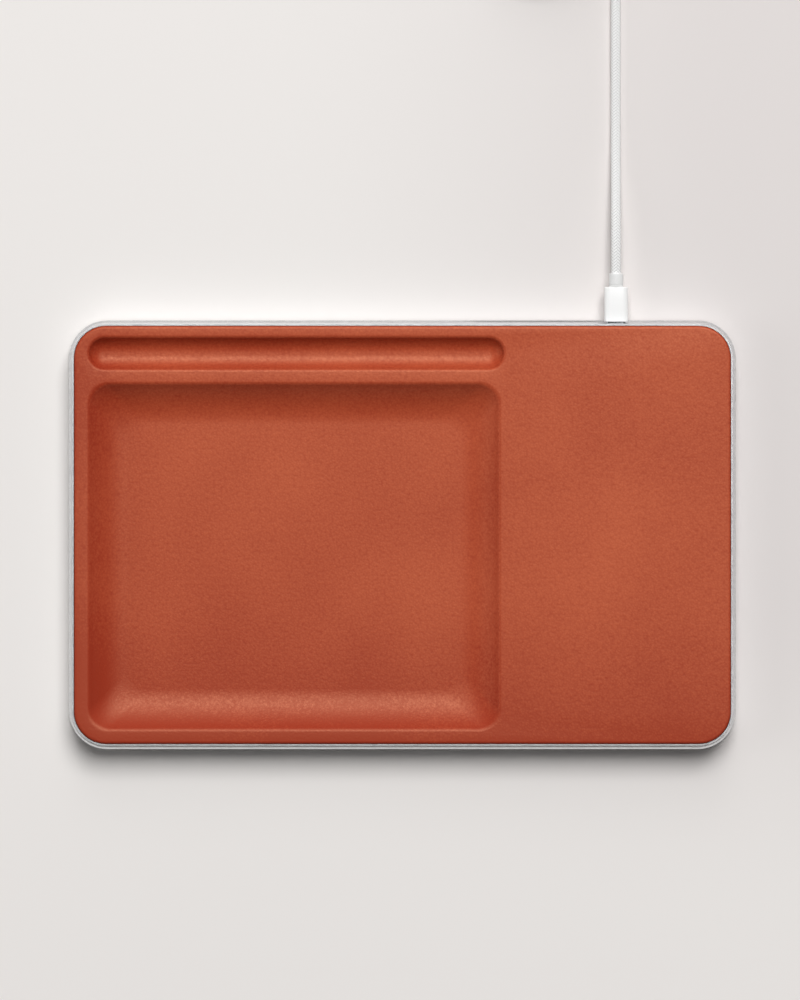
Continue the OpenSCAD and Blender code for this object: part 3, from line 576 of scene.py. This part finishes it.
def groove_outline(inset):
    """The groove's outline that far in from its rim. Its ends are a touch less than half round, so
    that no two corners fall together."""
    width = groove_w - 2 * inset
    return rounded_outline(groove_x1 - recess_x0 - 2 * inset, width, width / 2 * almost_half_round,
                           hollow_corner_steps)


def band(form, rings):
    """Adds the faces between each ring and the next."""
    for upper, lower in zip(rings, rings[1:]):
        for i in range(len(upper)):
            j = (i + 1) % len(upper)
            form.faces.new((upper[i], upper[j], lower[j], lower[i]))


def hollow(form, profile, outline, x, y):
    """Adds the wall and floor of a hollow round x, y to the form, and gives the corners of its rim."""
    rings = [[form.verts.new((x + dx, y + dy, top_z - depth)) for dx, dy in outline(inset)]
             for inset, depth in profile]
    band(form, rings)
    form.faces.new(rings[-1])
    return rings[0]


def tray_ring(form, inset, z):
    """A ring of corners that far in from the tray's outline."""
    points = rounded_outline(tray_l - 2 * inset, tray_w - 2 * inset, corner_r - inset,
                             tray_corner_steps)
    return [form.verts.new((x, y, z)) for x, y in points]


# The upper face and, one leather thickness below it, the inner face, each with both hollows
form = bmesh.new()
lands = []
for t in (0.0, leather_t):
    recess_wall = wall_profile(recess_depth, recess_run, recess_rim_r, t, recess_steps)
    groove_wall = wall_profile(groove_depth, (groove_w - groove_flat) / 2, groove_rim_r, t, groove_steps)
    rims = [
        hollow(form, recess_wall, recess_outline, (recess_x0 + recess_x1) / 2,
               (recess_y0 + recess_y1) / 2),
        hollow(form, groove_wall, groove_outline, (recess_x0 + groove_x1) / 2, groove_y),
    ]
    land = tray_ring(form, leather_in + leather_t, top_z - t)
    edges = []
    for loop in (land, *rims):
        for i, vert in enumerate(loop):
            pair = (vert, loop[(i + 1) % len(loop)])
            edges.append(form.edges.get(pair) or form.edges.new(pair))
    bmesh.ops.triangle_fill(form, use_beauty=True, edges=edges)
    lands.append(land)
# From the upper face over the rounded edge, down inside the frame and up again on the inner face
turned = [lands[0]]
for i in range(1, leather_edge_steps + 1):
    a = math.pi / 2 * i / leather_edge_steps
    turned.append(tray_ring(form, leather_in + leather_t * (1 - math.sin(a)),
                            top_z - leather_t * (1 - math.cos(a))))
turned += [tray_ring(form, leather_in, leather_low_z),
           tray_ring(form, leather_in + leather_t, leather_low_z), lands[1]]
band(form, turned)
leather_mesh = bpy.data.meshes.new("leather_deck")
form.to_mesh(leather_mesh)
form.free()

# Vegetable-tanned leather, pebbled and waxed: fine cells a millimetre wide and soft clouds of dye,
# with a warm, broad highlight on the walls
leather, tree, shader = new_finish("pebbled_leather_waxed", IOR=1.5, Specular_IOR_Level=0.85,
                                   Specular_Tint=srgb("#FFC6A0"))
pebble_w = 0.95 * MM
crease_w = 1.6 * MM
cloud_w = 55 * MM
coords = add(tree, "ShaderNodeTexCoord").outputs["Object"]
pebbles = add(tree, "ShaderNodeTexVoronoi", {
    "Vector": coords, "Scale": 1 / pebble_w, "Smoothness": 0.6, "Randomness": 1.0,
}, feature="SMOOTH_F1").outputs["Distance"]
creases = add(tree, "ShaderNodeTexNoise", {
    "Vector": coords, "Scale": 1 / crease_w, "Detail": 5.0, "Roughness": 0.6,
}).outputs["Fac"]
clouds = add(tree, "ShaderNodeTexNoise", {
    "Vector": coords, "Scale": 1 / cloud_w, "Detail": 3.0, "Roughness": 0.5,
}).outputs["Fac"]
domes = add(tree, "ShaderNodeMath", {0: pebbles, 1: -0.5}, operation="MULTIPLY")
fine = add(tree, "ShaderNodeMath", {0: creases, 1: 0.8, 2: domes}, operation="MULTIPLY_ADD")
# Painted shade: the colour is deeper towards the front and the left, where less light falls
spot = add(tree, "ShaderNodeSeparateXYZ", {"Vector": coords}).outputs
painted_shade_front = add(tree, "ShaderNodeMapRange", {
    "Value": spot["Y"], "From Min": -0.095, "From Max": -0.01, "To Min": -0.3, "To Max": 0.0,
}, interpolation_type="SMOOTHSTEP")
painted_shade_left = add(tree, "ShaderNodeMapRange", {
    "Value": spot["X"], "From Min": -0.14, "From Max": -0.09, "To Min": -0.2, "To Max": 0.0,
}, interpolation_type="SMOOTHSTEP")
cloud_dye = add(tree, "ShaderNodeMath", {0: clouds, 1: 0.5, 2: 0.25}, operation="MULTIPLY_ADD")
painted_edge_shade = add(tree, "ShaderNodeMath", {0: painted_shade_front, 1: painted_shade_left}, operation="ADD")
clouds_and_painted_shade = add(tree, "ShaderNodeMath", {0: cloud_dye, 1: painted_edge_shade}, operation="ADD")
dye_and_painted_shade = add(tree, "ShaderNodeMath", {0: fine, 1: 0.55, 2: clouds_and_painted_shade}, operation="MULTIPLY_ADD")
dye_and_shade_ramp = add(tree, "ShaderNodeValToRGB", {"Fac": dye_and_painted_shade})
dye_and_shade_ramp.color_ramp.elements[0].color = srgb("#9A2E18")
dye_and_shade_ramp.color_ramp.elements[0].position = 0.3
dye_and_shade_ramp.color_ramp.elements[1].color = srgb("#BC5434")
dye_and_shade_ramp.color_ramp.elements[1].position = 0.85
tree.links.new(dye_and_shade_ramp.outputs[0], shader.inputs["Base Color"])
wax = add(tree, "ShaderNodeMapRange", {
    "Value": fine, "From Min": -0.1, "From Max": 0.5, "To Min": 0.54, "To Max": 0.42,
})
tree.links.new(wax.outputs[0], shader.inputs["Roughness"])
bump = add(tree, "ShaderNodeBump", {"Height": fine, "Distance": 0.12 * MM, "Strength": 0.5})
tree.links.new(bump.outputs[0], shader.inputs["Normal"])
finished("leather_deck", leather_mesh, leather, "tray", "leather", "leather_cover", sharp=50.0)

# Floor. A sweep of matt backdrop paper, pale and warm, with a painted shade that darkens it a little
# on the right behind the tray. Matt paper gives no reflection, only the object's shadow.
floor_reach = 4
corners = [(x * floor_reach, y * floor_reach, 0) for x, y in ((-1, -1), (1, -1), (1, 1), (-1, 1))]
floor_mesh = bpy.data.meshes.new("studio_floor")
floor_mesh.from_pydata(corners, [], [(0, 1, 2, 3)])
floor = bpy.data.objects.new("studio_floor", floor_mesh)
scene.collection.objects.link(floor)
paper, tree, shader = new_finish("matt_backdrop_paper", Roughness=0.9)
spot = add(tree, "ShaderNodeSeparateXYZ", {
    "Vector": add(tree, "ShaderNodeTexCoord").outputs["Object"],
}).outputs
# Painted shade: the paper's colour darkens on the right and towards the back, as if less light fell there
shade_to_right = add(tree, "ShaderNodeMapRange", {
    "Value": spot["X"], "From Min": -0.06, "From Max": 0.15,
}, interpolation_type="SMOOTHSTEP")
shade_to_back = add(tree, "ShaderNodeMapRange", {
    "Value": spot["Y"], "From Min": -0.16, "From Max": -0.02,
}, interpolation_type="SMOOTHSTEP")
painted_floor_shade = add(tree, "ShaderNodeMath", {0: shade_to_right, 1: shade_to_back}, operation="MULTIPLY")
tint = add(tree, "ShaderNodeMix", {0: painted_floor_shade, 6: srgb("#ECE8E5"), 7: srgb("#E0DAD8")},
           data_type="RGBA")
tree.links.new(tint.outputs[2], shader.inputs["Base Color"])
floor_mesh.materials.append(paper)


# Light. A large soft lamp behind and above, and two weaker ones low behind and on the left, between
# the pale walls of a studio, which the world stands for. Together they light a level face so that
# its colour shows about as written.
def lamp(name, direction, distance, size, level):
    """A square soft lamp that gives that share of the full light on a level face."""
    data = bpy.data.lights.new(name, "AREA")
    data.size = size
    direction = Vector(direction).normalized()
    data.energy = level * math.pi ** 2 * distance ** 2 / direction.z
    made = bpy.data.objects.new(name, data)
    made.location = direction * distance
    made.rotation_euler = direction.to_track_quat("Z", "Y").to_euler()
    made.visible_camera = False
    scene.collection.objects.link(made)


lamp("soft_lamp_behind", (0.1, 0.48, 0.87), distance=5.5, size=3.0, level=0.83)
lamp("low_lamp_behind", (0.0, 0.84, 0.54), distance=4.0, size=1.8, level=0.07)
lamp("low_lamp_left", (-0.87, 0.0, 0.5), distance=3.0, size=1.2, level=0.05)
world = bpy.data.worlds.new("studio")
world.use_nodes = True
tree = world.node_tree
background = tree.nodes["Background"]
background.inputs["Color"].default_value = (1, 1, 1, 1)
height = add(tree, "ShaderNodeSeparateXYZ", {
    "Vector": add(tree, "ShaderNodeTexCoord").outputs["Generated"],
}).outputs["Z"]
pale_walls = add(tree, "ShaderNodeMapRange", {
    "Value": height, "From Min": 0.0, "From Max": 0.45, "To Min": 0.72, "To Max": 0.05,
}, interpolation_type="SMOOTHSTEP")
tree.links.new(pale_walls.outputs[0], background.inputs["Strength"])
scene.world = world

bpy.context.view_layer.update()
